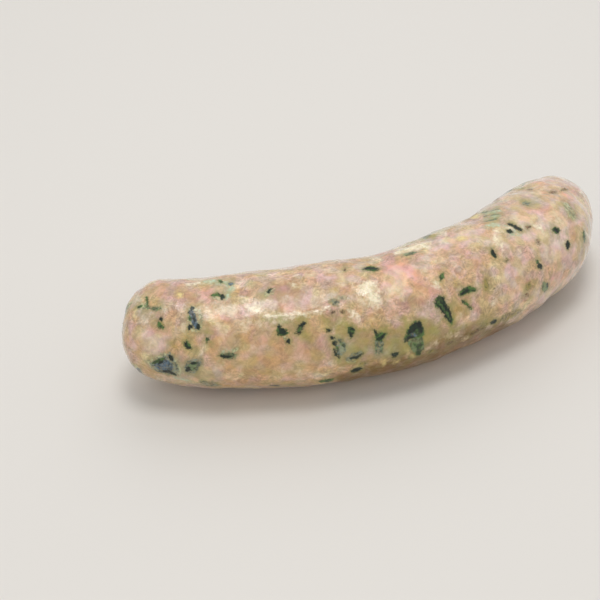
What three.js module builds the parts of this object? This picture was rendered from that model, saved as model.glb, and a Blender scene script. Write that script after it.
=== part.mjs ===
// A raw sausage link: one curved, uneven, round-ended length of minced meat in its thin casing, lying flat.
// Millimetres, +Z up. X runs along the link, the outer side of its curve faces -Y,
// and the origin is on the resting plane, below the middle of the link's box.

import * as THREE from "three";
import { mergeVertices } from "three/addons/utils/BufferGeometryUtils.js";

// Axis of the link, a curve in a level plane from the left tip to the right tip
const AXIS_LENGTH = 161;
const LEFT_BEND_RADIUS = 149;
const MIDDLE_BEND_RADIUS = 115;
const RIGHT_BEND_RADIUS = 78;
const LEFT_HEADING = THREE.MathUtils.degToRad(-39.5);
const LEFT_TIP_LIFT = 2.0;
const RIGHT_TIP_DROP = 0.9;
const END_LENGTH = 40;

// Girth
const MIDDLE_RADIUS = 16.7;
const LEFT_SHOULDER_RADIUS = 12.4;
const RIGHT_SHOULDER_RADIUS = 11.3;
const SHOULDER_POWER = 3;
const LEFT_DOME = { length: 10.5, power: 2.2 };
const RIGHT_DOME = { length: 19.8, power: 2.25 };
const SAG = 0.03;

// Flat spot that the link rests on, as the depth pressed away below the round section
const PRESSED_DEPTH = 0.6;

// Drawn-in middle of each rounded end, where the casing is gathered
const PUCKER_RADIUS = 2.4;
const PUCKER_DEPTH = 0.8;

// Swellings and hollows on the inner and the outer side of the curve: place as a share of the axis, and rise
const LUMP_LENGTH = 10.5;
const INNER_LUMPS = [
  { at: 0.1, rise: -0.1 },
  { at: 0.22, rise: 0.85 },
  { at: 0.34, rise: 0.8 },
  { at: 0.46, rise: -1.2 },
  { at: 0.58, rise: 0.45 },
  { at: 0.7, rise: -0.35 },
  { at: 0.82, rise: 0.45 },
  { at: 0.92, rise: -0.7 },
];
const OUTER_LUMPS = [
  { at: 0.22, rise: -0.5 },
  { at: 0.34, rise: -0.25 },
  { at: 0.46, rise: 0.5 },
  { at: 0.58, rise: -0.15 },
  { at: 0.7, rise: 0.45 },
  { at: 0.82, rise: 1.5 },
  { at: 0.92, rise: -0.6 },
];

// Small unevenness of the coarse mince: wavelength along the axis, waves around it, and rise
const MINCE_WAVES = [
  { length: 21, around: 2, rise: 0.16, phase: 0.4 },
  { length: 13, around: 3, rise: 0.12, phase: 2.1 },
  { length: 8.5, around: 4, rise: 0.08, phase: 4.4 },
];

// Fineness of the facets
const SIDES = 48;
const RINGS = 74;
const AXIS_STEPS = 2000;

// The axis curves more or less tightly along the link: its bend runs through three given radii.
class LinkAxis extends THREE.Curve {
  constructor() {
    super();
    this.points = [new THREE.Vector3()];
    this.headings = [LEFT_HEADING];
    const step = AXIS_LENGTH / AXIS_STEPS;
    for (let i = 0; i < AXIS_STEPS; i += 1) {
      const bend = this.bendAt((i + 0.5) / AXIS_STEPS);
      const heading = this.headings[i] + bend * step;
      const middle = (this.headings[i] + heading) / 2;
      const ahead = new THREE.Vector3(Math.cos(middle), Math.sin(middle), 0);
      this.points.push(this.points[i].clone().addScaledVector(ahead, step));
      this.headings.push(heading);
    }
  }

  bendAt(u) {
    const left = 2 * (u - 0.5) * (u - 1);
    const middle = -4 * u * (u - 1);
    const right = 2 * u * (u - 0.5);
    return left / LEFT_BEND_RADIUS + middle / MIDDLE_BEND_RADIUS + right / RIGHT_BEND_RADIUS;
  }

  headingAt(u) {
    const place = THREE.MathUtils.clamp(u, 0, 1) * AXIS_STEPS;
    const i = Math.min(Math.floor(place), AXIS_STEPS - 1);
    return THREE.MathUtils.lerp(this.headings[i], this.headings[i + 1], place - i);
  }

  getPoint(u, target = new THREE.Vector3()) {
    const place = THREE.MathUtils.clamp(u, 0, 1) * AXIS_STEPS;
    const i = Math.min(Math.floor(place), AXIS_STEPS - 1);
    return target.lerpVectors(this.points[i], this.points[i + 1], place - i);
  }
}

// Share of the full girth at a distance from a tip: a blunt dome.
function domeShare(distance, dome) {
  const gone = 1 - THREE.MathUtils.clamp(distance / dome.length, 0, 1);
  return Math.pow(1 - Math.pow(gone, dome.power), 1 / dome.power);
}

// Distance from a tip at which its dome has reached a share of the full girth.
function domeDistance(share, dome) {
  return dome.length * (1 - Math.pow(1 - Math.pow(share, dome.power), 1 / dome.power));
}

function endShare(along) {
  return domeShare(along, LEFT_DOME) * domeShare(AXIS_LENGTH - along, RIGHT_DOME);
}

// Radius of the plain link at a distance along its axis, before the lumps.
function girth(along) {
  const fromMiddle = (2 * along) / AXIS_LENGTH - 1;
  const shoulder = fromMiddle < 0 ? LEFT_SHOULDER_RADIUS : RIGHT_SHOULDER_RADIUS;
  const taper = (MIDDLE_RADIUS - shoulder) * Math.pow(Math.abs(fromMiddle), SHOULDER_POWER);
  return (MIDDLE_RADIUS - taper) * endShare(along);
}

// Lathe profile: radius against distance along the axis, with a drawn-in middle at both ends
// and rings that stand closer together on the domes.
function linkProfile() {
  const profile = [new THREE.Vector2(0, PUCKER_DEPTH)];
  const first = domeDistance(PUCKER_RADIUS / LEFT_SHOULDER_RADIUS, LEFT_DOME);
  const last = AXIS_LENGTH - domeDistance(PUCKER_RADIUS / RIGHT_SHOULDER_RADIUS, RIGHT_DOME);
  for (let i = 0; i < RINGS; i += 1) {
    const even = i / (RINGS - 1);
    const bunched = (1 - Math.cos(Math.PI * even)) / 2;
    const along = THREE.MathUtils.lerp(first, last, 0.65 * bunched + 0.35 * even);
    profile.push(new THREE.Vector2(girth(along), along));
  }
  profile.push(new THREE.Vector2(0, AXIS_LENGTH - PUCKER_DEPTH));
  return profile;
}

function lumpRise(lumps, along) {
  let rise = 0;
  for (const lump of lumps) {
    const away = (along - lump.at * AXIS_LENGTH) / LUMP_LENGTH;
    rise += lump.rise * Math.exp(-away * away);
  }
  return rise;
}

// Rise of the surface over the plain link: the swellings of the two sides and the mince's own unevenness.
function unevenness(along, turn) {
  const inward = Math.cos(turn);
  let rise = lumpRise(INNER_LUMPS, along) * Math.max(inward, 0);
  rise += lumpRise(OUTER_LUMPS, along) * Math.max(-inward, 0);
  for (const wave of MINCE_WAVES) {
    const lengthwise = (2 * Math.PI * along) / wave.length;
    rise += wave.rise * Math.sin(lengthwise + wave.phase) * Math.cos(wave.around * turn + wave.phase);
  }
  return rise * endShare(along);
}

// Height of the axis over the resting plane: the left tip stands a little higher than the rest,
// and the right tip droops.
function axisHeight(along) {
  const nearLeft = Math.max(1 - along / END_LENGTH, 0);
  const nearRight = Math.max(1 - (AXIS_LENGTH - along) / END_LENGTH, 0);
  const level = MIDDLE_RADIUS * (1 - SAG) - PRESSED_DEPTH;
  return level + LEFT_TIP_LIFT * nearLeft * nearLeft - RIGHT_TIP_DROP * nearRight * nearRight;
}

// Takes a point of the straight lathe to its place on the curved, sagging, uneven link.
function settle(point, axis) {
  const along = point.y;
  const plain = Math.hypot(point.x, point.z);
  const turn = Math.atan2(point.z, -point.x);
  const radius = plain > 0 ? plain + unevenness(along, turn) : 0;
  const heading = axis.headingAt(along / AXIS_LENGTH);
  const inner = new THREE.Vector3(-Math.sin(heading), Math.cos(heading), 0);
  const settled = axis.getPoint(along / AXIS_LENGTH);
  settled.addScaledVector(inner, radius * Math.cos(turn) * (1 + SAG));
  settled.z = Math.max(axisHeight(along) + radius * Math.sin(turn) * (1 - SAG), 0);
  return settled;
}

// Shares the corners of neighbouring triangles and leaves out those that closed up at the tips.
function closedSurface(geometry) {
  geometry.deleteAttribute("normal");
  geometry.deleteAttribute("uv");
  const merged = mergeVertices(geometry, 1e-3);
  const corners = merged.index.array;
  const kept = [];
  for (let i = 0; i < corners.length; i += 3) {
    const [a, b, c] = [corners[i], corners[i + 1], corners[i + 2]];
    if (a !== b && b !== c && c !== a) {
      kept.push(a, b, c);
    }
  }
  merged.setIndex(kept);
  return merged;
}

function linkGeometry() {
  const lathe = new THREE.LatheGeometry(linkProfile(), SIDES);
  const axis = new LinkAxis();
  const positions = lathe.attributes.position;
  const point = new THREE.Vector3();
  for (let i = 0; i < positions.count; i += 1) {
    const settled = settle(point.fromBufferAttribute(positions, i), axis);
    positions.setXYZ(i, settled.x, settled.y, settled.z);
  }
  const geometry = closedSurface(lathe);
  geometry.computeBoundingBox();
  const middle = geometry.boundingBox.getCenter(new THREE.Vector3());
  geometry.translate(-middle.x, -middle.y, -geometry.boundingBox.min.z);
  geometry.computeVertexNormals();
  return geometry;
}

const casedMeat = new THREE.MeshStandardMaterial({ color: 0xcda98f, roughness: 0.35, metalness: 0 });

const sausage = new THREE.Mesh(linkGeometry(), casedMeat);
sausage.name = "sausage_link";

const link = new THREE.Group();
link.add(sausage);

export default link;
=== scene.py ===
"""Blender scene of a raw sausage link: pale minced meat with leaf and fat showing through a thin, glossy casing.

Lengths are in metres unless a name says otherwise. The link lies on the floor at z = 0, X runs along it,
and the outer side of its curve faces -Y. Marks on the side that the photograph shows are placed by their
pixel in the 600 x 600 photograph and drawn on the skin where that line of sight meets it.
"""

import logging
import math
import random
from dataclasses import dataclass, field
from enum import Enum
from typing import Union

import bpy
import numpy as np
from mathutils import Euler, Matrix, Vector
from mathutils.bvhtree import BVHTree


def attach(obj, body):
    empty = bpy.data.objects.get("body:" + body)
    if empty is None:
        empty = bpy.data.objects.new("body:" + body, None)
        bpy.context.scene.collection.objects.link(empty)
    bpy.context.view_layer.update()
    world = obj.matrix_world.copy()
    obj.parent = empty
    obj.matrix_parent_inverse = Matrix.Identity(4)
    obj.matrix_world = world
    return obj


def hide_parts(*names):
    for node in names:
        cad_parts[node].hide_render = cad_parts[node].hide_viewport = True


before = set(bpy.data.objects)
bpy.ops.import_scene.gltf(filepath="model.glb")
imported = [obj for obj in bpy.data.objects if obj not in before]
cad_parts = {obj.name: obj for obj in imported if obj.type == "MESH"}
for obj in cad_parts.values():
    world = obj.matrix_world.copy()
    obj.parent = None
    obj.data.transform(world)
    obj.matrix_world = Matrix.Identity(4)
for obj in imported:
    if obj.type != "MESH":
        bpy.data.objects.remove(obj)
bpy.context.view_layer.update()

log = logging.getLogger("sausage_link")

MM = 0.001
Colour = tuple[float, float, float, float]


def srgb(red: float, green: float, blue: float) -> Colour:
    """Turns a screen colour into the linear colour that shaders use.

    Args:
        red: Red from 0 to 255.
        green: Green from 0 to 255.
        blue: Blue from 0 to 255.

    Returns:
        Linear red, green, blue and an alpha of one.
    """

    def straight(level: float) -> float:
        """Undoes the screen curve of one channel."""
        share = level / 255.0
        return share / 12.92 if share <= 0.04045 else ((share + 0.055) / 1.055) ** 2.4

    return straight(red), straight(green), straight(blue), 1.0


class Layer(Enum):
    """What a mark is made of, from the deepest under the casing to the nearest."""

    # Soft tinges of the meat's own colour, together with painted shade and painted sheen.
    STAIN = "stain"
    FAT = "fat"
    LEAF = "leaf"


class Tone(Enum):
    """Colours of the marks: layer, screen colour and cover."""

    DARK = (Layer.LEAF, (10, 30, 10), 1.0)
    GREEN = (Layer.LEAF, (54, 84, 36), 0.96)
    SAGE = (Layer.LEAF, (84, 106, 74), 0.91)
    BLUE = (Layer.LEAF, (54, 82, 106), 0.9)
    SLATE = (Layer.LEAF, (100, 114, 106), 0.84)
    PALE = (Layer.LEAF, (160, 170, 138), 0.6)
    MINT = (Layer.FAT, (190, 212, 186), 0.95)
    OLIVE = (Layer.LEAF, (118, 110, 52), 0.7)
    BROWN = (Layer.LEAF, (92, 58, 36), 0.8)
    WHITE = (Layer.FAT, (244, 232, 204), 0.95)
    CREAM = (Layer.FAT, (226, 206, 174), 0.75)
    BUTTER = (Layer.FAT, (230, 208, 142), 0.85)
    # Painted sheen: pale haze standing in for the wet casing's shine and reflections.
    FROST = (Layer.STAIN, (230, 208, 188), 0.7)
    PINK = (Layer.STAIN, (228, 176, 154), 0.85)
    # Pale peach meat with a painted highlight on it.
    PEACH = (Layer.STAIN, (252, 218, 192), 0.95)
    RUST = (Layer.STAIN, (180, 143, 123), 0.85)
    MAUVE = (Layer.STAIN, (206, 170, 154), 0.6)
    # Tan of the underside, partly the meat's own colour and partly painted shade of the belly.
    TAN = (Layer.STAIN, (202, 166, 118), 0.68)
    MOSS = (Layer.STAIN, (158, 149, 73), 0.88)
    STRAW = (Layer.STAIN, (194, 164, 104), 0.65)
    GREY = (Layer.STAIN, (172, 166, 136), 0.65)
    SHELL = (Layer.STAIN, (208, 190, 166), 0.7)
    # Painted shade: dark brown for the low edges and where a neighbouring link touched the top.
    BARK = (Layer.STAIN, (108, 80, 22), 1.0)

    @property
    def layer(self) -> Layer:
        """Layer that the tone belongs to."""
        return self.value[0]

    @property
    def colour(self) -> Colour:
        """Linear colour, with the cover as alpha."""
        return srgb(*self.value[1])[:3] + (self.value[2],)


Pixel = tuple[float, float]

# Edges of the marks: waves round a dab with their rise, how much a stroke thins towards its ends,
# and a distance in pixels beyond any mark.
DAB_WAVES = (2, 3, 5)
DAB_WAVE_RISE = 0.14
STROKE_THINNING = 0.4
FAR_PX = 1e3


@dataclass(frozen=True)
class Mark:
    """One bit of leaf, fat or soft tinge under the casing, or painted shade, sheen or highlight, as the
    photograph's pixels show it.

    One pixel with a width is a dab, several with a width are a stroke along them, and several without
    a width are the corners of a patch.
    """

    name: str
    tone: Tone
    width: float
    pixels: tuple[Pixel, ...]

    @property
    def middle(self) -> Pixel:
        """Pixel at the middle of the mark."""
        return tuple(np.mean(self.pixels, axis=0))

    @property
    def reach(self) -> float:
        """Distance in pixels from the middle to the furthest edge."""
        return float(np.linalg.norm(np.array(self.pixels) - self.middle, axis=1).max()) + self.width / 2

    def depth(self, across: np.ndarray, down: np.ndarray) -> np.ndarray:
        """Works out how far inside the mark's edge points lie.

        Args:
            across: Offsets to the right of the middle, in pixels.
            down: Offsets below the middle, in pixels.

        Returns:
            Depth inside the edge in pixels, negative outside.
        """
        points = np.column_stack([across, down]) + self.middle
        if len(self.pixels) == 1:
            return self.dab_depth(points)
        return self.stroke_depth(points) if self.width else self.patch_depth(points)

    def dab_depth(self, points: np.ndarray) -> np.ndarray:
        """Depth inside a dab with an uneven round edge.

        Args:
            points: Places in pixels, one row each.

        Returns:
            Depth inside the edge.
        """
        chance = random.Random(self.name)
        away = points - self.pixels[0]
        angle = np.arctan2(away[:, 1], away[:, 0])
        edge = np.ones(len(points))
        for waves in DAB_WAVES:
            rise = DAB_WAVE_RISE * chance.uniform(0.4, 1.0)
            edge += rise * np.cos(waves * angle + chance.uniform(0.0, 6.3))
        return edge * self.width / 2 - np.linalg.norm(away, axis=1)

    def stroke_depth(self, points: np.ndarray) -> np.ndarray:
        """Depth inside a stroke that thins towards its ends.

        Args:
            points: Places in pixels, one row each.

        Returns:
            Depth inside the edge.
        """
        corners = np.array(self.pixels, float)
        deepest = np.full(len(points), -FAR_PX)
        for number, (start, end) in enumerate(zip(corners[:-1], corners[1:])):
            run = end - start
            share = np.clip((points - start) @ run / (run @ run), 0.0, 1.0)
            along = 2.0 * (number + share) / (len(corners) - 1) - 1.0
            half = self.width / 2 * (1.0 - STROKE_THINNING * np.abs(along) ** 3)
            away = np.linalg.norm(points - start - share[:, None] * run, axis=1)
            deepest = np.maximum(deepest, half - away)
        return deepest

    def patch_depth(self, points: np.ndarray) -> np.ndarray:
        """Depth inside a patch with straight edges between its corners.

        Args:
            points: Places in pixels, one row each.

        Returns:
            Depth inside the edge.
        """
        corners = np.array(self.pixels, float)
        nearest = np.full(len(points), FAR_PX)
        inside = np.zeros(len(points), bool)
        for start, end in zip(corners, np.roll(corners, -1, axis=0)):
            run = end - start
            share = np.clip((points - start) @ run / (run @ run), 0.0, 1.0)
            away = np.linalg.norm(points - start - share[:, None] * run, axis=1)
            nearest = np.minimum(nearest, away)
            if run[1] != 0.0:
                crosses = (start[1] > points[:, 1]) != (end[1] > points[:, 1])
                inside ^= crosses & (points[:, 0] < start[0] + run[0] * (points[:, 1] - start[1]) / run[1])
        return np.where(inside, nearest, -nearest)


# Torn leaf, nearest under the casing. A later mark lies over an earlier one.
LEAVES = (
    Mark("tee left arm", Tone.PALE, 0, ((136.6, 308), (141.5, 303), (147, 301.6), (150, 307), (144, 309.4))),
    Mark("tee left end", Tone.GREEN, 3, ((138, 307.6), (142, 305.6))),
    Mark("tee middle", Tone.SAGE, 4.4, ((145, 305.6), (149, 307))),
    Mark("tee right arm", Tone.SAGE, 3.6, ((149, 308), (155, 309), (160, 308))),
    Mark("tee stem", Tone.GREEN, 2.6, ((146.5, 297), (147.5, 304))),
    Mark("left bit", Tone.OLIVE, 7, ((160, 324),)),
    Mark("left bit top", Tone.DARK, 4.2, ((161, 317), (161.5, 320.5))),
    Mark("left bit core", Tone.GREEN, 4.6, ((158.6, 322.5), (160, 326), (162.5, 327))),
    Mark(
        "cluster haze", Tone.PALE, 0,
        ((188, 309), (194, 305.6), (201, 310), (203.4, 320), (201, 330), (192, 331.6), (188, 322)),
    ),
    Mark("cluster body", Tone.BLUE, 6.4, ((191, 310.5), (193, 317.5), (196, 327))),
    Mark("cluster top", Tone.DARK, 4.6, ((192.3, 308.5),)),
    Mark("cluster upper", Tone.DARK, 4.4, ((190.2, 312.4),)),
    Mark("cluster streak", Tone.DARK, 3, ((193, 314.5), (194.6, 321))),
    Mark("cluster side", Tone.GREEN, 3.4, ((189.4, 316.5), (190.2, 321))),
    Mark("cluster left foot", Tone.DARK, 5, ((190.4, 326.8),)),
    Mark("cluster right foot", Tone.DARK, 4.6, ((198.2, 324.5), (198.4, 329))),
    Mark(
        "hook", Tone.GREEN, 0,
        ((183.4, 342), (187.7, 340.5), (190, 345), (192.3, 349), (187.7, 349.4), (183.4, 346.6)),
    ),
    Mark("hook core", Tone.DARK, 3.4, ((185, 342.5), (187, 347), (190.5, 348.6))),
    Mark("small soft dot", Tone.GREEN, 4.6, ((207.4, 339.7),)),
    Mark(
        "low dash", Tone.SAGE, 0,
        ((218.5, 355), (226, 352.8), (233, 352), (237, 355), (235.4, 358.2), (227.7, 359), (221.5, 357.4)),
    ),
    Mark("low dash core", Tone.DARK, 3, ((220.6, 355.6), (226, 357.2), (231, 356.6))),
    Mark("low dash tail", Tone.PALE, 3.4, ((233.8, 352), (238, 347.5))),
    Mark(
        "blue patch haze", Tone.PALE, 0,
        ((144.6, 361), (152, 357.6), (164, 355), (176, 360), (181, 370), (180, 378), (168, 377), (152, 371)),
    ),
    Mark(
        "blue patch", Tone.SLATE, 0,
        ((149, 363.5), (157, 358.6), (164.6, 357), (169.2, 353.4), (173.6, 356.4), (174.8, 362.5), (178, 366),
         (179, 372), (174.8, 377), (166, 374.8), (156.5, 372.5), (151, 367.4)),
    ),
    Mark(
        "blue patch middle", Tone.BLUE, 0,
        ((153.5, 365), (160, 361), (167, 360), (172, 364), (174, 370), (167, 371.6), (158.4, 369.6)),
    ),
    Mark("blue patch left", Tone.GREEN, 3.4, ((152.5, 363.5), (158, 361), (164, 358.6))),
    Mark("blue patch top", Tone.DARK, 4, ((169.6, 355.6), (172.2, 360))),
    Mark("blue patch foot", Tone.DARK, 2.8, ((163, 371), (169, 371.6), (176, 375))),
    Mark("blue patch core", Tone.DARK, 2.6, ((158.5, 363.4), (163, 361.5))),
    Mark(
        "lower left leaf", Tone.SLATE, 0,
        ((183.6, 368), (186.7, 362), (193.8, 359), (201, 360), (202.6, 364.3), (198.7, 368), (196, 373),
         (190, 374.3), (184.8, 372.6)),
    ),
    Mark(
        "lower left middle", Tone.SAGE, 0,
        ((186, 367.6), (190, 363), (197, 362), (197, 366), (194, 371), (187, 371.6)),
    ),
    Mark("lower left dark", Tone.DARK, 5, ((187.8, 369.4),)),
    Mark("lower left top", Tone.DARK, 3.4, ((191.5, 363.4), (196, 363))),
    Mark("mint foot", Tone.PALE, 3, ((211, 297), (220, 298.6))),
    Mark("mint dark bit", Tone.GREEN, 3.2, ((219, 280), (222, 282.4))),
    Mark("mint blue bit", Tone.BLUE, 3.2, ((229, 283.6), (232.4, 283.4))),
    Mark("top pair left", Tone.GREEN, 3.8, ((211.5, 295.6), (216, 294.6), (220, 295.4))),
    Mark("top pair right", Tone.DARK, 5.2, ((222.3, 297),)),
    Mark("top dot fringe", Tone.PALE, 0, ((264.6, 297), (266, 290), (276, 288), (273, 294))),
    Mark("top dot", Tone.DARK, 0, ((265.8, 292.4), (268.5, 288.8), (273, 288), (269.4, 293.8))),
    Mark(
        "edge bluish bit", Tone.SLATE, 0,
        ((200, 380), (208, 380.6), (216, 383), (221, 387), (210, 388), (202, 385.4)),
    ),
    Mark("edge bluish line", Tone.SLATE, 3, ((203, 382.6), (209, 385), (216, 386.2))),
    Mark(
        "triangle", Tone.GREEN, 0,
        ((277.7, 325.4), (280, 324.4), (283, 327.4), (287, 329.7), (289, 332.8), (287, 335.4), (282.3, 336.8),
         (278.5, 335.2), (276.4, 331.2)),
    ),
    Mark("triangle dark", Tone.DARK, 7, ((280.4, 329.5), (285, 333))),
    Mark("triangle corner", Tone.DARK, 4.8, ((279.7, 326.8),)),
    Mark("triangle stem", Tone.PALE, 3.4, ((284, 337), (287, 339.6))),
    Mark("triangle foot", Tone.DARK, 4.6, ((288.2, 341.2),)),
    Mark(
        "slant leaf", Tone.DARK, 0,
        ((296, 333), (297, 329), (300, 324.3), (303, 321.4), (306.4, 323.5), (303.8, 326.8), (301.5, 329.7),
         (300, 334.5), (297.5, 334.8)),
    ),
    Mark("slant leaf light", Tone.GREEN, 2.6, ((298.6, 331), (300.6, 327))),
    Mark(
        "trail patch", Tone.SLATE, 0,
        ((334.6, 340), (340, 338.6), (345.4, 342.6), (346.2, 350), (342.4, 355.4), (338.4, 355.4),
         (335.4, 347)),
    ),
    Mark("trail patch green", Tone.SAGE, 3.6, ((340, 342), (344, 346.4))),
    Mark("trail one", Tone.DARK, 4, ((328.8, 330.5),)),
    Mark("trail two", Tone.DARK, 4.4, ((332, 338.2),)),
    Mark("trail three", Tone.DARK, 4.4, ((333.6, 341.4), (335.2, 344.6))),
    Mark("trail four", Tone.GREEN, 3, ((336.4, 346.6), (338.4, 349.6))),
    Mark("trail foot", Tone.DARK, 3, ((334.4, 349.4), (336, 353.4), (339, 357.4))),
    Mark(
        "upright bit", Tone.GREEN, 0,
        ((347.7, 327.4), (352.3, 326.2), (354.8, 329), (354, 333.5), (350.8, 338.6), (349, 334.3),
         (347.5, 331.2)),
    ),
    Mark("upright core", Tone.DARK, 4, ((352.8, 329.2),)),
    Mark("upright foot", Tone.DARK, 3, ((350.4, 333), (351, 337))),
    Mark(
        "curved band", Tone.SLATE, 0,
        ((345.6, 359), (349.6, 355.4), (355, 352.6), (361, 350.6), (363, 353), (358, 357.4), (352, 360.4),
         (347, 361.2)),
    ),
    Mark("curved band edge", Tone.DARK, 2.6, ((350, 358.4), (356.6, 357.4), (363, 353.4))),
    Mark("curved band foot", Tone.PALE, 3.2, ((348, 361.5), (355, 361.5))),
    Mark(
        "grey blue bit", Tone.SLATE, 0,
        ((330, 300.5), (333.8, 299.2), (338.5, 301.2), (337.7, 305), (333, 305.4)),
    ),
    Mark("pale dash", Tone.PALE, 3.6, ((338.5, 298), (346, 297.8))),
    Mark("pepper one", Tone.BROWN, 3.8, ((332.8, 312),)),
    Mark("pepper two", Tone.BROWN, 4.2, ((343, 311.7),)),
    Mark("pepper three", Tone.BROWN, 3.6, ((344.6, 269.2),)),
    Mark("edge fleck one", Tone.DARK, 3.6, ((271, 385.6), (278, 385.6))),
    Mark("edge fleck two", Tone.OLIVE, 3.2, ((289, 384.6), (296, 383.8))),
    Mark("edge fleck three", Tone.GREEN, 4, ((320, 382), (327, 381), (333, 379))),
    Mark("edge fleck four", Tone.DARK, 4, ((352, 371.6), (356, 370), (361, 368.4))),
    Mark("edge fleck five", Tone.OLIVE, 3.4, ((360, 365), (365, 363))),
    Mark(
        "upper sliver", Tone.GREEN, 0,
        ((362, 269.4), (368.4, 265.6), (374, 266.2), (380, 269.2), (374, 271), (367.6, 270.8)),
    ),
    Mark("upper sliver ends", Tone.DARK, 2.6, ((363.5, 269), (369, 268), (378.5, 269))),
    Mark("small upright", Tone.GREEN, 4.6, ((441, 279.6), (442.5, 274.6))),
    Mark("fan fade", Tone.SLATE, 0, ((375.4, 341), (383, 340), (383, 351), (379, 354.6), (375.6, 352))),
    Mark("fan fade edge", Tone.SAGE, 2.6, ((376, 345), (376.2, 354))),
    Mark("fan fade foot", Tone.SAGE, 2.4, ((382, 346), (381.6, 352.6))),
    Mark(
        "fan", Tone.GREEN, 0,
        ((374.6, 334.6), (379, 332.4), (386.8, 333), (384.4, 337.5), (382, 341.6), (375.4, 341.6)),
    ),
    Mark("fan core", Tone.DARK, 3.8, ((376.4, 339.6), (380.4, 338.4), (384.4, 335))),
    Mark("fan tip", Tone.DARK, 3, ((374, 330), (376.4, 333.6))),
    Mark(
        "big leaf fade", Tone.SAGE, 0,
        ((407.6, 341.5), (414, 338.3), (422, 336.5), (424.8, 343), (423.9, 349.5), (419, 355), (413.6, 352),
         (410.4, 348)),
    ),
    Mark(
        "big leaf", Tone.GREEN, 0,
        ((405, 344.4), (405.1, 336.7), (407.7, 330.3), (411, 325.5), (416.5, 321), (420.7, 322.6),
         (423.1, 327), (424.9, 333.5), (422, 338), (414, 338.5), (409.3, 341)),
    ),
    Mark("big leaf dark", Tone.DARK, 7, ((409, 333), (413, 327.5), (418, 324.6), (421.4, 331))),
    Mark("big leaf low dark", Tone.DARK, 4, ((406.4, 341.6), (408.6, 338), (413, 336.6))),
    Mark("big leaf blue", Tone.BLUE, 3.4, ((411.6, 334), (415.8, 335.6))),
    Mark("big leaf foot", Tone.GREEN, 5.2, ((418.2, 353.4),)),
    Mark("big leaf fade dark", Tone.GREEN, 3.6, ((413.6, 343.6), (419, 348), (422.6, 342.6))),
    Mark("big leaf spot", Tone.OLIVE, 4, ((410, 357.4),)),
    Mark(
        "low dark bit", Tone.DARK, 0,
        ((391.2, 354.6), (395.7, 352), (399, 352.4), (396.8, 357), (392.3, 357.6)),
    ),
    Mark(
        "long blade", Tone.GREEN, 0,
        ((435, 301.5), (437.3, 297.3), (441.3, 295.5), (444.8, 298), (446.6, 306), (450.4, 312.5),
         (454.5, 320.7), (453.5, 325.2), (449.2, 321.9), (444.3, 314.6), (439.4, 309.8), (435.3, 306.5)),
    ),
    Mark("long blade left", Tone.DARK, 2.6, ((436, 302.5), (440.6, 308.6), (445.6, 315.4), (452, 323))),
    Mark("long blade right", Tone.DARK, 2.6, ((442.8, 297.5), (445.6, 305.5), (449.2, 312), (453.4, 320.5))),
    Mark("long blade middle", Tone.DARK, 2, ((441, 301.5), (446.5, 310.5))),
    Mark("bean leaf", Tone.GREEN, 6.2, ((461, 294.6), (464.6, 291.2), (469.4, 289), (474, 289.4))),
    Mark("bean leaf dark", Tone.DARK, 3, ((462, 294), (465.6, 291.4), (469.4, 290.2))),
    Mark("thin stalk", Tone.GREEN, 3, ((462, 300.6), (467, 304.7), (471.6, 309))),
    Mark("soft upright", Tone.OLIVE, 4.2, ((486.2, 279), (487, 285.4), (486.2, 288.6))),
    Mark("slant bit", Tone.DARK, 4, ((491.6, 250.6), (495.4, 257))),
    Mark("right pepper", Tone.OLIVE, 3.8, ((506.7, 260),)),
    Mark("right slant leaf", Tone.DARK, 3.4, ((509, 223.8), (515, 226.6), (521.4, 230.2))),
    Mark("right slant foot", Tone.DARK, 4.4, ((507.6, 231), (512.2, 231.8))),
    Mark("right dash", Tone.BROWN, 3, ((525.8, 227.4), (530, 227))),
    Mark(
        "right leaf bit", Tone.GREEN, 0,
        ((551.8, 229.6), (554.3, 226.6), (558.5, 227.6), (560.8, 231), (557.7, 234.4), (554.1, 232.9)),
    ),
    Mark("right leaf dark", Tone.DARK, 3.4, ((554.6, 228.8), (558, 232))),
    Mark("right upright", Tone.DARK, 4, ((568, 241.6), (568, 248.2))),
    Mark("rim upright", Tone.GREEN, 3.6, ((583.8, 232), (584.8, 241.3))),
    Mark("right twin small", Tone.GREEN, 3.6, ((537, 261), (538.4, 263.2))),
    Mark("right twin", Tone.DARK, 4.8, ((538.8, 264.4), (540.9, 268))),
    Mark("red slant", Tone.BROWN, 2.8, ((537.3, 240), (539.2, 245))),
    Mark(
        "soft blue bit", Tone.SAGE, 0,
        ((542, 282), (548.7, 282.6), (548.9, 288.6), (544.7, 293), (540.7, 288.6)),
    ),
    Mark("soft blue edge", Tone.DARK, 2.4, ((547.6, 283.4), (547, 287))),
    Mark("yellow bit", Tone.OLIVE, 5, ((529.7, 284.2), (527.7, 288.8))),
    Mark("yellow dot", Tone.BROWN, 3.6, ((527, 295),)),
    Mark("tip dash one", Tone.BROWN, 2.8, ((550.4, 192.6), (556, 192.2))),
    Mark("tip dash two", Tone.BROWN, 2.6, ((562, 189.8), (567.6, 189.2))),
    Mark("tip dash three", Tone.BROWN, 2.4, ((527.6, 189.8), (531.4, 189.4))),
    Mark("tip grey bit", Tone.SLATE, 0, ((521.2, 203), (525.5, 200.3), (530.5, 203), (528, 206), (523, 205.4))),
    Mark("top edge bit", Tone.PALE, 5, ((512, 189), (523, 186.6))),
    Mark("comb one", Tone.SAGE, 1.8, ((482, 212.8), (489.4, 212), (499, 208))),
    Mark("comb two", Tone.SAGE, 1.8, ((484, 217.4), (491, 215.8), (498, 213))),
    Mark("comb three", Tone.SAGE, 1.8, ((485, 222), (491, 220.6), (497, 218.2))),
    Mark("comb dark", Tone.GREEN, 2.6, ((482.6, 212.8), (487, 212.2))),
    Mark("line under white", Tone.SAGE, 3.6, ((405, 255.4), (410, 254), (416, 251.6))),
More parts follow.
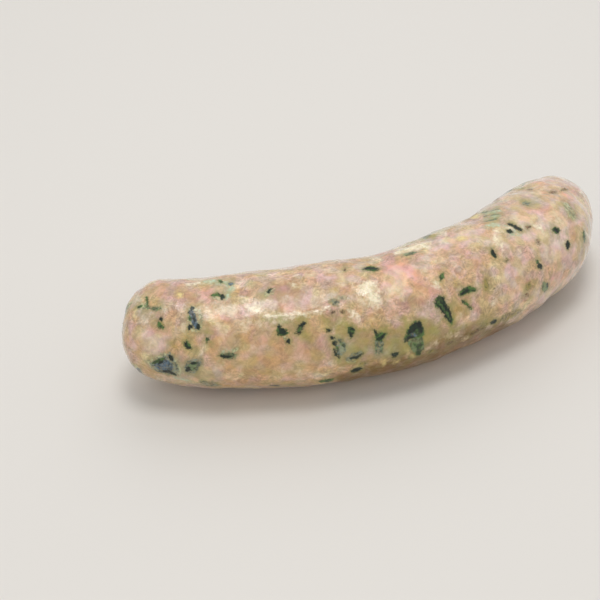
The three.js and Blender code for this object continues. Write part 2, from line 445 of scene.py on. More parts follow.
    Mark("tip pale bit", Tone.PALE, 7, ((566, 204), (570, 211), (574, 217))),
    Mark("low stroke one", Tone.BROWN, 3, ((471, 334.6), (478, 330), (486, 326))),
    Mark("low stroke two", Tone.BROWN, 2.6, ((447, 344), (453, 341))),
    Mark("low stroke three", Tone.OLIVE, 3, ((428, 353), (434, 349.6))),
    Mark("rim line one", Tone.OLIVE, 3.4, ((481, 327), (489, 323.6))),
    Mark("rim line two", Tone.DARK, 3.4, ((491, 323.4), (496, 320.8))),
    Mark("rim olive", Tone.OLIVE, 6, ((502, 320), (510, 315.6), (520, 311))),
)

# Fat and pale threads, and painted highlights of the casing among them.
FATS = (
    # Fat with a painted highlight of the overhead light on it, in the lump and its tail.
    Mark(
        "white lump", Tone.WHITE, 0,
        ((359.6, 283.8), (366, 279), (372.4, 280.6), (378, 282.2), (379.6, 288.6), (377.2, 293.4),
         (379.6, 298.2), (378.8, 305.4), (372.4, 306.2), (367.6, 303), (366, 295), (361.2, 291.8)),
    ),
    Mark("white lump foot", Tone.CREAM, 9, ((359, 299), (366, 308))),
    Mark("white lump tail", Tone.CREAM, 8, ((386, 289), (394, 290), (403, 290.6))),
    # Painted highlight: a white streak along the top edge.
    Mark("top white streak", Tone.WHITE, 9, ((397, 255), (403, 251.8), (414, 247), (429, 242.6))),
    Mark("low dash top", Tone.MINT, 2.4, ((224, 352.6), (232, 351))),
    Mark("mint top", Tone.MINT, 4, ((203.8, 282.8), (212.3, 280.8), (221.5, 281.6))),
    Mark("mint right", Tone.MINT, 3.6, ((221.5, 281.6), (226.2, 283.5), (234.4, 283.5))),
    Mark("mint down", Tone.MINT, 4.4, ((233, 285), (230, 290.5), (226, 297))),
    # Pale line along the lower left rim, a painted rim highlight of the casing.
    Mark("edge mint line", Tone.MINT, 2.6, ((174, 377), (182, 379.6), (194, 382))),
    Mark("trail pale", Tone.MINT, 3.4, ((341, 351), (345, 347))),
    Mark("right slant mint", Tone.MINT, 3, ((503, 225), (511, 228), (517, 232))),
    Mark("right slant fade", Tone.MINT, 2.6, ((511, 233.6), (516, 235), (521, 234.4))),
    # Pale lines between the comb folds, partly the meat's pale colour and partly painted highlight on the folds.
    Mark("comb four", Tone.MINT, 2, ((486, 226), (494, 224.4), (504, 226.4))),
    Mark("comb light one", Tone.MINT, 2.4, ((483, 215), (491, 213.6), (500, 210))),
    Mark("comb light two", Tone.MINT, 2.4, ((484, 219.6), (491, 218.2), (499, 215.4))),
    Mark("edge butter lump", Tone.BUTTER, 5.4, ((471, 220.6), (476.5, 215.4), (480.5, 212))),
    Mark("slant white", Tone.WHITE, 6.4, ((493.4, 236.6), (501.6, 246.4))),
    Mark("butter pair one", Tone.BUTTER, 6, ((458, 239), (466, 238))),
    Mark("butter pair two", Tone.CREAM, 5, ((461, 234), (468, 231))),
    Mark("fold streak one", Tone.WHITE, 3.6, ((496, 230), (506, 228.6), (522, 226))),
    Mark("fold streak two", Tone.WHITE, 5, ((532, 223), (540, 228), (545, 234))),
    Mark("tip fold line one", Tone.CREAM, 2.8, ((530, 184), (545, 181.4), (560, 182.4), (573, 187))),
    Mark("tip fold line two", Tone.CREAM, 2.6, ((536, 189), (552, 187.4), (566, 190), (576, 196))),
    Mark("tip cream streak", Tone.CREAM, 4.4, ((505, 199), (519.9, 194), (527.9, 193.3), (540, 190))),
    # Fat along the top with a painted highlight on it, so that it stays bright under any light.
    Mark(
        "band left", Tone.CREAM, 0,
        ((207, 305.8), (218.5, 303.2), (227.7, 305.4), (233.8, 306.2), (242, 309.7), (233, 314), (227.7, 313),
         (218.5, 313), (210, 311.6)),
    ),
    Mark(
        "band right", Tone.WHITE, 0,
        ((245, 307), (255.4, 302.4), (261.7, 304), (263.4, 309.7), (257, 315), (248.8, 312.8)),
    ),
    Mark("band low", Tone.CREAM, 0, ((238, 322.8), (246, 318.6), (251.2, 322.8), (249.2, 328.6), (243, 331.6))),
    Mark("band low right", Tone.CREAM, 6.4, ((256, 321), (262, 326), (266, 329.7))),
    Mark("band dab", Tone.CREAM, 8, ((219, 326), (224, 331))),
    # Painted highlight along the casing fold.
    Mark(
        "casing line", Tone.WHITE, 3,
        ((266, 314.8), (273, 315.8), (289.2, 315.2), (304.6, 314.6), (313.8, 312.5), (324.6, 310.3),
         (331, 305.8)),
    ),
    Mark(
        "left cream", Tone.CREAM, 0,
        ((140, 337.4), (150.8, 338), (160, 341.5), (158.5, 347.5), (149.2, 353.5), (146.2, 348.2), (140, 343)),
    ),
    Mark("cluster cream", Tone.CREAM, 8, ((181.5, 325), (186, 331))),
    # Painted highlight: a white streak near the top at the left.
    Mark("top left line", Tone.WHITE, 3.6, ((187, 286), (195.4, 283.5), (204, 282.8))),
    Mark("top left dab", Tone.BUTTER, 5, ((177, 292.8), (181.5, 295.8))),
    Mark(
        "low cream lump", Tone.CREAM, 0,
        ((212, 363.5), (218.5, 360.2), (224.8, 363.5), (223.2, 368.6), (215.2, 368.2)),
    ),
    # Cream along the lower left rim, fat with a painted rim highlight.
    Mark("rim cream left", Tone.CREAM, 4.4, ((170, 378), (177, 381), (184, 383.4))),
    Mark("white spot one", Tone.WHITE, 8, ((435, 281.6), (437.5, 285))),
    Mark("white spot two", Tone.WHITE, 5.6, ((495, 302),)),
    Mark("white spot three", Tone.WHITE, 5.6, ((349, 310), (353, 314.6), (358, 320))),
    Mark("white spot four", Tone.WHITE, 5, ((293.8, 285),)),
    Mark("upper cream one", Tone.CREAM, 6, ((340.8, 285),)),
    Mark("upper cream two", Tone.CREAM, 5, ((305.4, 274), (316.6, 275))),
    Mark("upper cream three", Tone.CREAM, 4.4, ((322, 269), (331, 271))),
    Mark("fold streak three", Tone.CREAM, 4, ((547, 222), (556, 219), (566, 224))),
    Mark("right cream two", Tone.CREAM, 9, ((556.7, 220.6),)),
    Mark("low spot one", Tone.BUTTER, 5.4, ((383.8, 362.3),)),
    Mark("low spot two", Tone.CREAM, 4.4, ((432.6, 345.4), (437.6, 341.2))),
    Mark("low spot three", Tone.CREAM, 4.6, ((455, 336), (460, 333))),
    Mark("leaf foot butter one", Tone.BUTTER, 4.6, ((407.7, 350.6),)),
    Mark("leaf foot butter two", Tone.BUTTER, 4.4, ((412, 355.6),)),
    Mark("edge spot", Tone.CREAM, 4.8, ((340.8, 369),)),
    Mark("low thread", Tone.CREAM, 3, ((280, 369.4), (284.8, 374.6))),
    Mark("low rosy spot", Tone.CREAM, 8, ((300, 375.4),)),
    Mark("rim spot", Tone.CREAM, 5, ((552, 284), (557, 279))),
    Mark("low streak one", Tone.CREAM, 3.4, ((444, 338.4), (450, 335))),
    Mark("low streak two", Tone.CREAM, 3.6, ((463, 341), (468, 336.6))),
    Mark("low streak three", Tone.BUTTER, 3.6, ((356, 367.4), (362, 364.6))),
    Mark("low streak four", Tone.CREAM, 3.2, ((424, 352), (429, 348.4))),
    Mark("low streak five", Tone.BUTTER, 3, ((394, 362.6), (399, 360.6))),
    Mark("right speck one", Tone.CREAM, 4, ((454, 263),)),
    Mark("right speck two", Tone.CREAM, 4.4, ((470, 247), (475, 249))),
    Mark("right speck three", Tone.CREAM, 4, ((480, 243),)),
    Mark("right speck four", Tone.CREAM, 4.6, ((519, 250),)),
    Mark("right speck five", Tone.CREAM, 4, ((526, 264), (524, 270))),
    Mark("right speck six", Tone.CREAM, 3.8, ((461, 313), (458, 319))),
    Mark("right speck seven", Tone.CREAM, 4, ((505, 282),)),
    Mark("right speck eight", Tone.CREAM, 3.6, ((552, 250), (554, 256))),
    Mark("middle speck one", Tone.CREAM, 4, ((436, 262), (441, 259))),
    Mark("middle speck two", Tone.CREAM, 4, ((424, 270),)),
    Mark("left speck one", Tone.CREAM, 4, ((171, 303),)),
    Mark("left speck two", Tone.CREAM, 3.6, ((255, 348), (258, 352))),
    Mark("left speck three", Tone.CREAM, 3.6, ((268, 300), (276, 305))),
)

# Broad soft changes of the meat's colour, painted shade along the low edges and where a neighbouring link touched
# the top, and painted sheen of the wet casing.
TINGES_SHADES_SHEENS = (
    # Painted sheen over the right end.
    Mark(
        "frost right end", Tone.FROST, 0,
        ((505, 200), (545, 180), (580, 194), (589, 222), (587, 250), (562, 274), (530, 250), (508, 230)),
    ),
    # Painted sheen along the top.
    Mark("frost top", Tone.FROST, 18, ((425, 258), (455, 240), (482, 231))),
    # Painted sheen over the left end.
    Mark(
        "frost left end", Tone.FROST, 0,
        ((130, 328), (150, 322), (176, 330), (172, 352), (150, 358), (132, 350)),
    ),
    Mark("mauve left top", Tone.MAUVE, 16, ((146, 292), (164, 289), (186, 296))),
    # Painted sheen along the upper edge.
    Mark("frost upper", Tone.FROST, 14, ((322, 274), (346, 276), (366, 268))),
    # Painted sheen along the top at the right.
    Mark("frost right", Tone.FROST, 20, ((486, 238), (510, 240), (516, 222))),
    # Tan of the belly, partly painted shade of the underside.
    Mark(
        "tan belly", Tone.TAN, 0,
        ((203, 336), (250, 334), (266, 319), (300, 319), (318, 326), (326, 345), (322, 372), (290, 379),
         (235, 377), (206, 358)),
    ),
    # Painted shade where a neighbouring link touched the top: dark brown by the comb, olive further left.
    Mark("bark comb edge", Tone.BARK, 9, ((466, 219), (480, 209), (496, 199))),
    Mark("moss top edge", Tone.MOSS, 11, ((402, 245), (424, 236), (448, 227))),
    # Painted sheen on the lower middle.
    Mark("frost lower", Tone.FROST, 12, ((418, 312), (430, 318))),
    Mark("rust lower", Tone.RUST, 15, ((409, 298), (424, 304))),
    Mark(
        "moss middle", Tone.MOSS, 0,
        ((328, 320), (352, 318), (366, 328), (392, 326), (404, 318), (428, 317), (446, 324), (454, 338),
         (432, 350), (418, 362), (390, 364), (360, 366), (340, 372), (331, 358)),
    ),
    Mark("moss bean", Tone.MOSS, 14, ((452, 324), (454, 312), (462, 302), (468, 296))),
    # Painted shade: a darker straw band along the lowest edge.
    Mark("straw low edge", Tone.STRAW, 12, ((196, 385), (230, 387), (270, 386), (310, 385))),
    Mark("moss right", Tone.MOSS, 14, ((434, 343), (456, 332), (476, 325), (492, 319))),
    # Painted shade: dark brown along the low edge where the link meets the floor.
    Mark(
        "bark low edge", Tone.BARK, 24,
        ((338, 382), (352, 378), (372, 373), (392, 369), (412, 364), (432, 356), (452, 346), (476, 335),
         (490, 331)),
    ),
    Mark("bark right edge", Tone.BARK, 16, ((482, 336), (496, 330), (508, 325))),
    Mark("grey trail", Tone.GREY, 0, ((333, 336), (345, 338), (352, 346), (350, 358), (342, 360), (336, 352))),
    Mark("grey leaf low", Tone.GREY, 10, ((372, 352), (384, 354))),
    Mark(
        "pink shoulder", Tone.PINK, 0,
        ((384, 262), (404, 257), (422, 262), (424, 276), (412, 284), (392, 280), (380, 272)),
    ),
    Mark("pink below", Tone.PINK, 15, ((416, 284), (428, 291), (436, 288))),
    # Painted highlight on the pink shoulder.
    Mark("frost shoulder", Tone.FROST, 13, ((416, 264), (432, 271), (430, 279))),
    Mark(
        "shell low left", Tone.SHELL, 0,
        ((134, 352), (150, 360), (176, 352), (202, 362), (222, 374), (216, 386), (186, 386), (160, 378),
         (142, 366)),
    ),
    # Painted sheen along the lower right rim.
    Mark(
        "frost low right", Tone.FROST, 14,
        ((506, 298), (522, 290), (544, 298), (560, 286), (576, 270), (586, 250)),
    ),
    Mark(
        "pink left top", Tone.PINK, 0,
        ((203, 286), (220, 288), (229, 297), (226, 303), (206, 303), (200, 294)),
    ),
    Mark("pink far left", Tone.MAUVE, 14, ((168, 288), (190, 298))),
    Mark("mauve band", Tone.PINK, 9, ((211, 320), (220, 319), (230, 321))),
    Mark("mauve left end", Tone.MAUVE, 10, ((148, 328), (160, 331), (171, 331))),
    Mark(
        "rust upper middle", Tone.RUST, 0,
        ((262, 282), (296, 280), (322, 296), (326, 306), (306, 315), (270, 314), (258, 300)),
    ),
    Mark("rust left top", Tone.RUST, 15, ((170, 288), (184, 297), (200, 303))),
    Mark("moss under band", Tone.MOSS, 12, ((264, 319), (284, 322), (306, 320))),
    # Tan under the fat band, partly painted shade of the belly.
    Mark("tan under band", Tone.TAN, 20, ((206, 322), (218, 336), (244, 348))),
    Mark("pink by line", Tone.PINK, 8, ((284, 309), (294, 312))),
    Mark("pink column", Tone.MAUVE, 10, ((316, 326), (324, 344), (331, 364))),
    Mark("pink upper right", Tone.MAUVE, 16, ((350, 290), (338, 300))),
    Mark("pink rim", Tone.PINK, 12, ((552, 284), (562, 273))),
    Mark("pink tip", Tone.PINK, 8, ((520, 213), (534, 211), (548, 209))),
    Mark("pink tip edge", Tone.PINK, 4, ((534, 184), (550, 182), (566, 185), (578, 192))),
    Mark("pink tip second", Tone.PINK, 4, ((545, 191), (560, 192), (572, 197))),
    Mark("pink right", Tone.MAUVE, 14, ((470, 268), (482, 258))),
    # Painted sheen low on the right end.
    Mark("frost right low", Tone.FROST, 18, ((504, 278), (518, 264), (517, 292))),
    Mark("moss blade end", Tone.MOSS, 10, ((446, 320), (456, 322), (462, 314))),
    Mark("pink middle", Tone.MAUVE, 12, ((446, 252), (462, 250))),
    Mark("moss left", Tone.MOSS, 12, ((203, 331), (208, 340))),
    Mark("moss hook", Tone.MOSS, 10, ((168, 342), (178, 346))),
    Mark("moss left low", Tone.STRAW, 12, ((137, 354), (146, 368), (160, 378))),
    # Painted shade: reddish brown along the lower left end.
    Mark("rust left low", Tone.RUST, 9, ((122, 346), (128, 358), (140, 371))),
    Mark("moss patch", Tone.GREY, 24, ((160, 366), (192, 370))),
    Mark("moss pepper", Tone.MOSS, 9, ((322, 318), (330, 328), (342, 322))),
    Mark("moss slant", Tone.MOSS, 8, ((304, 334), (308, 340))),
    Mark("straw tip", Tone.STRAW, 9, ((573, 228), (574, 242))),
    Mark("straw by bean", Tone.STRAW, 12, ((458, 300), (466, 312))),
    Mark("straw stalk", Tone.MOSS, 7, ((484, 276), (488, 290))),
    Mark("straw by twin", Tone.STRAW, 9, ((528, 284), (530, 292))),
    Mark("straw upper", Tone.STRAW, 10, ((334.6, 289),)),
    Mark("straw slant bit", Tone.STRAW, 7, ((488, 250), (492, 260))),
    Mark("grey left end", Tone.GREY, 14, ((136, 304), (146, 312), (158, 312))),
    Mark("grey mint", Tone.GREY, 12, ((206, 282), (228, 284), (226, 296))),
    Mark("grey top", Tone.GREY, 7, ((250, 286), (262, 294), (274, 300))),
    Mark("grey comb", Tone.GREY, 0, ((480, 210), (500, 202), (506, 214), (502, 226), (486, 230))),
    Mark("grey tip", Tone.GREY, 10, ((516, 200), (532, 203), (546, 200))),
    Mark("grey rim", Tone.GREY, 7, ((588, 226), (587, 240), (580, 256))),
    # Pale peach meat with a painted highlight of the overhead light.
    Mark(
        "peach middle", Tone.PEACH, 0,
        ((381, 280), (393, 270), (410, 276), (413, 290), (398, 299), (383, 295)),
    ),
    Mark("grey pale tip", Tone.GREY, 12, ((564, 202), (574, 216))),
)

# Fine folds of the casing, which are raised and have no colour of their own.
CREASES = (
    Mark(
        "casing fold", Tone.WHITE, 4,
        ((264, 314.8), (273, 315.8), (289.2, 315.2), (304.6, 314.6), (313.8, 312.5), (324.6, 310.3),
         (331, 305.8)),
    ),
    Mark("comb fold one", Tone.WHITE, 4, ((482, 214.4), (491, 212.6), (500, 209.6))),
    Mark("comb fold two", Tone.WHITE, 4, ((483, 218.4), (492, 217), (500, 214.4))),
    Mark("comb fold three", Tone.WHITE, 4, ((485, 223.4), (493, 222), (500, 219))),
    Mark("tip fold one", Tone.WHITE, 4, ((536, 187.4), (552, 186.4), (568, 188.6))),
    Mark("tip fold two", Tone.WHITE, 4, ((540, 195), (556, 196), (570, 201))),
    Mark("streak fold", Tone.WHITE, 5, ((397, 255), (414, 247), (432, 241))),
)


@dataclass(frozen=True)
class PhotoCamera:
    """Camera that sees the link as the photograph does."""

    place: tuple[float, float, float] = (-0.18294, -0.24881, 0.23853)
    azimuth_deg: float = -31.605
    pitch_deg: float = 36.498
    focal_px: float = 1340.0
    image_px: float = 600.0
    sensor_mm: float = 36.0
    nearest: float = 0.01
    furthest: float = 20.0

    def turn(self) -> Euler:
        """Turn of the camera: tipped down by the pitch and swung round by the azimuth."""
        return Euler((math.radians(90.0 - self.pitch_deg), 0.0, math.radians(self.azimuth_deg)))

    def build(self) -> bpy.types.Object:
        """Adds the camera and makes it the scene's own.

        Returns:
            The camera object.
        """
        bpy.ops.object.camera_add(location=self.place, rotation=self.turn())
        camera = bpy.context.object
        camera.name = "photo_camera"
        camera.data.sensor_width = self.sensor_mm
        camera.data.lens = self.focal_px / self.image_px * self.sensor_mm
        camera.data.clip_start = self.nearest
        camera.data.clip_end = self.furthest
        bpy.context.scene.camera = camera
        return camera

    def sight(self, pixel: Pixel) -> Vector:
        """Direction in which a pixel of the photograph looks.

        Args:
            pixel: Place across and down the photograph.

        Returns:
            Unit vector from the camera.
        """
        half = self.image_px / 2
        lens = Vector((pixel[0] - half, half - pixel[1], -self.focal_px)).normalized()
        return self.turn().to_matrix() @ lens

    def pixels(self, points: np.ndarray) -> np.ndarray:
        """Works out where points come out in the photograph.

        Args:
            points: Places, one row each.

        Returns:
            Pixels across and down, one row each.
        """
        seen = (points - np.array(self.place)) @ np.array(self.turn().to_matrix())
        offsets = seen[:, :2] / -seen[:, 2:] * np.array((self.focal_px, -self.focal_px))
        return offsets + self.image_px / 2


@dataclass
class Spot:
    """A mark laid on the skin: where its middle is and how far a pixel step reaches there."""

    mark: Mark
    middle: np.ndarray
    outward: np.ndarray
    step_across: np.ndarray
    step_down: np.ndarray
    margin_px: float = 10.0
    least_facing: float = 0.1

    def depths(self, points: np.ndarray, normals: np.ndarray) -> tuple[np.ndarray, np.ndarray]:
        """Works out which skin points the mark reaches and how deep inside it they lie.

        Args:
            points: Skin points, one row each.
            normals: Outward directions there.

        Returns:
            Numbers of the points near the mark, and their depth inside its edge in millimetres.
        """
        lengths = np.linalg.norm(self.step_across), np.linalg.norm(self.step_down)
        pixel = float(sum(lengths)) / 2
        reach = (self.mark.reach + self.margin_px) * max(lengths)
        away = points - self.middle
        inside = (away**2).sum(1) < reach**2
        near = np.nonzero(inside & (normals @ self.outward > self.least_facing))[0]
        steps = np.linalg.pinv(np.column_stack([self.step_across, self.step_down]))
        across, down = steps @ away[near].T
        return near, self.mark.depth(across, down) * pixel / MM


@dataclass
class Veil:
    """A broad soft mark, laid on all the skin that the photograph sees through its pixels.

    It fades, in millimetres of depth, as the skin turns away from the camera.
    """

    mark: Mark
    camera: PhotoCamera
    fade: float = 40.0
    least_facing: float = -0.35

    def depths(self, points: np.ndarray, normals: np.ndarray) -> tuple[np.ndarray, np.ndarray]:
        """Works out which skin points the mark reaches and how deep inside it they lie.

        Args:
            points: Skin points, one row each.
            normals: Outward directions there.

        Returns:
            Numbers of the points that face the camera or nearly so, and their depth in millimetres.
        """
        sights = points - np.array(self.camera.place)
        away = np.linalg.norm(sights, axis=1)
        facing = -(sights * normals).sum(1) / away
        near = np.nonzero(facing > self.least_facing)[0]
        across, down = (self.camera.pixels(points[near]) - self.mark.middle).T
        pixel = away[near] / self.camera.focal_px / MM
        return near, self.mark.depth(across, down) * pixel - np.maximum(-facing[near], 0.0) * self.fade


class Shade:
    """A shader value that takes part in Python arithmetic."""

    def __init__(self, sheet: "NodeSheet", socket: bpy.types.NodeSocket) -> None:
        """Wraps an output socket of a node sheet."""
        self.sheet = sheet
        self.socket = socket

    def __add__(self, other: "Operand") -> "Shade":
        """Sum of two values."""
        return self.sheet.math("ADD", self, other)

    __radd__ = __add__

    def __sub__(self, other: "Operand") -> "Shade":
        """Difference of two values."""
        return self.sheet.math("SUBTRACT", self, other)

    def __rsub__(self, other: "Operand") -> "Shade":
        """Difference with this value taken away."""
        return self.sheet.math("SUBTRACT", other, self)

    def __mul__(self, other: "Operand") -> "Shade":
        """Product of two values."""
        return self.sheet.math("MULTIPLY", self, other)

    __rmul__ = __mul__

    def __abs__(self) -> "Shade":
        """Size of the value without its sign."""
        return self.sheet.math("ABSOLUTE", self, 0.0)

    def stepped(self, low: float, high: float) -> "Shade":
        """Smooth step from nought at low to one at high.

        Args:
            low: Value at which the step starts.
            high: Value at which it ends.

        Returns:
            A value from nought to one.
        """
        settings = {"interpolation_type": "SMOOTHSTEP"}
        sockets = {"Value": self, "From Min": low, "From Max": high, "To Min": 0.0, "To Max": 1.0}
        return self.sheet.shade("ShaderNodeMapRange", "Result", settings, sockets)


Operand = Union[Shade, float]
Paint = Union[Shade, Colour]


class NodeSheet:
    """Node tree of one material."""

    def __init__(self, name: str) -> None:
        """Makes an empty material of that name."""
        self.material = bpy.data.materials.new(name)
        self.material.use_nodes = True
        self.tree = self.material.node_tree
        self.tree.nodes.clear()

    def node(self, kind: str, settings: dict, sockets: dict) -> bpy.types.Node:
        """Adds a node.

        Args:
            kind: Type name of the node.
            settings: Settings of the node, made before its sockets are filled.
            sockets: Values or links by socket name or number.

        Returns:
            The node.
        """
        made = self.tree.nodes.new(kind)
        for key, value in settings.items():
            setattr(made, key, value)
        for key, value in sockets.items():
            if isinstance(value, Shade):
                self.tree.links.new(value.socket, made.inputs[key])
            else:
                made.inputs[key].default_value = value
        return made

    def shade(self, kind: str, output: Union[str, int], settings: dict, sockets: dict) -> Shade:
        """Adds a node and hands back one of its outputs.

        Args:
            kind: Type name of the node.
            output: Name or number of the output.
            settings: Settings of the node.
            sockets: Values or links by socket name or number.

        Returns:
            The output as a shade.
        """
        return Shade(self, self.node(kind, settings, sockets).outputs[output])

    def math(self, operation: str, first: Operand, second: Operand) -> Shade:
        """Adds a Math node on two values.

        Args:
            operation: Name of the operation.
            first: First value.
            second: Second value.

        Returns:
            The result.
        """
        return self.shade("ShaderNodeMath", 0, {"operation": operation}, {0: first, 1: second})

    def blend(self, share: Operand, first: Paint, second: Paint, how: str = "MIX") -> Shade:
        """Mixes two colours.

        Args:
            share: Share of the second colour.
            first: First colour.
            second: Second colour.
            how: Way of mixing.

        Returns:
            The mixed colour.
        """
        settings = {"data_type": "RGBA", "blend_type": how, "clamp_factor": True}
        return self.shade("ShaderNodeMix", 2, settings, {0: share, 6: first, 7: second})

    def attribute(self, name: str, output: str) -> Shade:
        """Reads an attribute of the mesh.

        Args:
            name: Name of the attribute.
            output: Which of its outputs to read.

        Returns:
            The attribute as a shade.
        """
        return self.shade("ShaderNodeAttribute", output, {"attribute_name": name}, {})


@dataclass(frozen=True)
class CasedMeat:
    """Finish of the link: pale mince with its marks, under a thin wet casing."""

    beige: Colour = srgb(202, 175, 143)
    rose: Colour = srgb(203, 172, 152)
    tan: Colour = srgb(196, 164, 112)
    lean: Colour = srgb(184, 150, 124)
    cream: Colour = srgb(226, 208, 180)
    haze: Colour = srgb(152, 146, 88)
    rim: Colour = srgb(122, 126, 66)
    crumb: Colour = srgb(92, 92, 52)
    roughness: float = 0.22
    roughness_swing: float = 0.2
    ior: float = 1.45
    glow: float = 0.18
    glow_depth: float = 1.8 * MM
    glow_spread: tuple[float, float, float] = (1.0, 0.5, 0.3)
    casing_gloss: float = 0.13
    casing_edge_gloss: float = 0.87
    casing_roughness: float = 0.12
    casing_ior: float = 2.0
    bead_height: float = 0.35 * MM

    def build(self) -> bpy.types.Material:
        """Makes the material.

        Returns:
            The finished material.
        """
        sheet = NodeSheet("cased_meat")
        place = sheet.shade("ShaderNodeTexCoord", "Object", {}, {})
        mm = sheet.shade("ShaderNodeVectorMath", 0, {"operation": "SCALE"}, {0: place, "Scale": 1.0 / MM})
        grain = self.noise(sheet, mm, scale=1.1, detail=4.0, rough=0.62)
        blotch = self.noise(sheet, mm, scale=0.34, detail=3.0, rough=0.6)
        colour = self.mince(sheet, mm, grain)
        colour = self.marks(sheet, mm, grain, blotch, colour)
        depth, _, cover = self.layer(sheet, Layer.STAIN)
        # The casing's coat is taken off where the soft marks cover fully, which is mostly the painted shade.
        dull = cover.stepped(0.9, 1.0) * depth.stepped(-1.0, 1.0)
        edge = sheet.shade("ShaderNodeLayerWeight", "Facing", {}, {"Blend": 0.5}).stepped(0.5, 0.9)
        gloss = self.noise(sheet, mm, scale=0.6, detail=3.0, rough=0.6)
        sockets = {
            "Base Color": colour,
            "Roughness": self.roughness + gloss * self.roughness_swing,
            "Normal": self.relief(sheet, mm, grain),
            "IOR": self.ior,
            "Subsurface Weight": self.glow,
            "Subsurface Radius": self.glow_spread,
            "Subsurface Scale": self.glow_depth,
            "Coat Weight": (1.0 - dull) * (self.casing_gloss + edge * self.casing_edge_gloss),
            "Coat Roughness": self.casing_roughness,
            "Coat IOR": self.casing_ior,
        }
        skin = sheet.shade("ShaderNodeBsdfPrincipled", "BSDF", {}, sockets)
        sheet.node("ShaderNodeOutputMaterial", {}, {"Surface": skin})
        return sheet.material

    @staticmethod
    def noise(sheet: NodeSheet, place: Shade, scale: float, detail: float, rough: float) -> Shade:
        """Adds a noise pattern.

        Args:
            sheet: Node sheet of the material.
            place: Place in millimetres.
            scale: Features to a millimetre.
            detail: How many finer octaves.
            rough: Strength of the finer octaves.

        Returns:
            Noise about one half.
        """
        sockets = {"Vector": place, "Scale": scale, "Detail": detail, "Roughness": rough}
        return sheet.shade("ShaderNodeTexNoise", "Fac", {}, sockets)

    @staticmethod
    def stirred(sheet: NodeSheet, place: Shade, scale: float, reach: float) -> Shade:
        """Pushes places about, so that a pattern read there is irregular.

        Args:
            sheet: Node sheet of the material.
            place: Place in millimetres.
            scale: Swirls to a millimetre.
            reach: How far places are pushed, in millimetres.

        Returns:
            The moved place.
        """
        swirl = sheet.shade("ShaderNodeTexNoise", "Color", {}, {"Vector": place, "Scale": scale, "Detail": 2.0})
        centred = sheet.shade("ShaderNodeVectorMath", 0, {"operation": "SUBTRACT"}, {0: swirl, 1: (0.5, 0.5, 0.5)})
        pushed = sheet.shade("ShaderNodeVectorMath", 0, {"operation": "SCALE"}, {0: centred, "Scale": reach * 2.0})
        return sheet.shade("ShaderNodeVectorMath", 0, {"operation": "ADD"}, {0: place, 1: pushed})

    def mince(self, sheet: NodeSheet, mm: Shade, grain: Shade) -> Shade:
        """Colours the plain mince: broad drifts, lumps of lean and fat, fibres, pale threads and a few crumbs.

        Args:
            sheet: Node sheet of the material.
            mm: Place in millimetres.
            grain: Fine grain.

        Returns:
            The colour of the mince.
        """
        stirred = self.stirred(sheet, mm, scale=0.3, reach=2.4)
        drift = self.noise(sheet, mm, scale=0.07, detail=2.0, rough=0.5)
        colour = sheet.blend(drift.stepped(0.4, 0.6), self.beige, self.rose)
        shade = self.noise(sheet, stirred, scale=0.13, detail=3.0, rough=0.55)
        colour = sheet.blend(shade.stepped(0.46, 0.66) * 0.8, colour, self.tan)
        cells = {"Vector": stirred, "Scale": 0.24, "Smoothness": 0.9}
        lump = sheet.shade("ShaderNodeTexVoronoi", "Color", {"feature": "SMOOTH_F1"}, cells)
        parts = sheet.node("ShaderNodeSeparateColor", {}, {"Color": lump})
        colour = sheet.blend(Shade(sheet, parts.outputs[0]).stepped(0.5, 0.9) * 0.75, colour, self.lean)
        colour = sheet.blend(Shade(sheet, parts.outputs[1]).stepped(0.5, 0.9) * 0.75, colour, self.cream)
        swirled = self.stirred(sheet, mm, scale=0.22, reach=4.0)
        drawn = sheet.shade("ShaderNodeVectorMath", 0, {"operation": "MULTIPLY"}, {0: swirled, 1: (0.6, 1.0, 1.0)})
        fibre = self.noise(sheet, drawn, scale=0.95, detail=4.0, rough=0.7)
        dark, light = (0.72, 0.71, 0.68, 1.0), (1.2, 1.21, 1.2, 1.0)
        colour = self.varied(sheet, fibre, colour, 0.34, 0.66, dark, light)
        lighter = sheet.blend(1.0, colour, (1.4, 1.42, 1.4, 1.0), "MULTIPLY")
        thread = abs(self.noise(sheet, stirred, scale=0.35, detail=2.0, rough=0.6) - 0.5)
        colour = sheet.blend(thread.stepped(0.04, 0.0) * 0.3, colour, lighter)
        cells = sheet.node("ShaderNodeTexVoronoi", {"feature": "F1"}, {"Vector": stirred, "Scale": 0.3})
        kind = sheet.node("ShaderNodeSeparateColor", {}, {"Color": Shade(sheet, cells.outputs["Color"])})
        chosen = Shade(sheet, kind.outputs[2]).stepped(0.86, 0.9)
        crumb = (Shade(sheet, cells.outputs["Distance"]) + (grain - 0.5) * 0.4).stepped(0.16, 0.06)
        return sheet.blend(crumb * chosen * 0.6, colour, self.crumb)

    def marks(self, sheet: NodeSheet, mm: Shade, grain: Shade, blotch: Shade, colour: Shade) -> Shade:
        """Lays the soft tinges with the painted shade and sheen, the fat with its painted highlights, and the leaf
        over the mince, deepest first.

        Args:
            sheet: Node sheet of the material.
            mm: Place in millimetres.
            grain: Fine grain, which makes edges ragged.
            blotch: Coarser pattern, which breaks up the soft marks.
            colour: Colour of the mince.

        Returns:
            The colour with the marks.
        """
        mottle = self.noise(sheet, mm, scale=0.42, detail=3.0, rough=0.6)
        shred = self.noise(sheet, mm, scale=2.3, detail=3.0, rough=0.6)
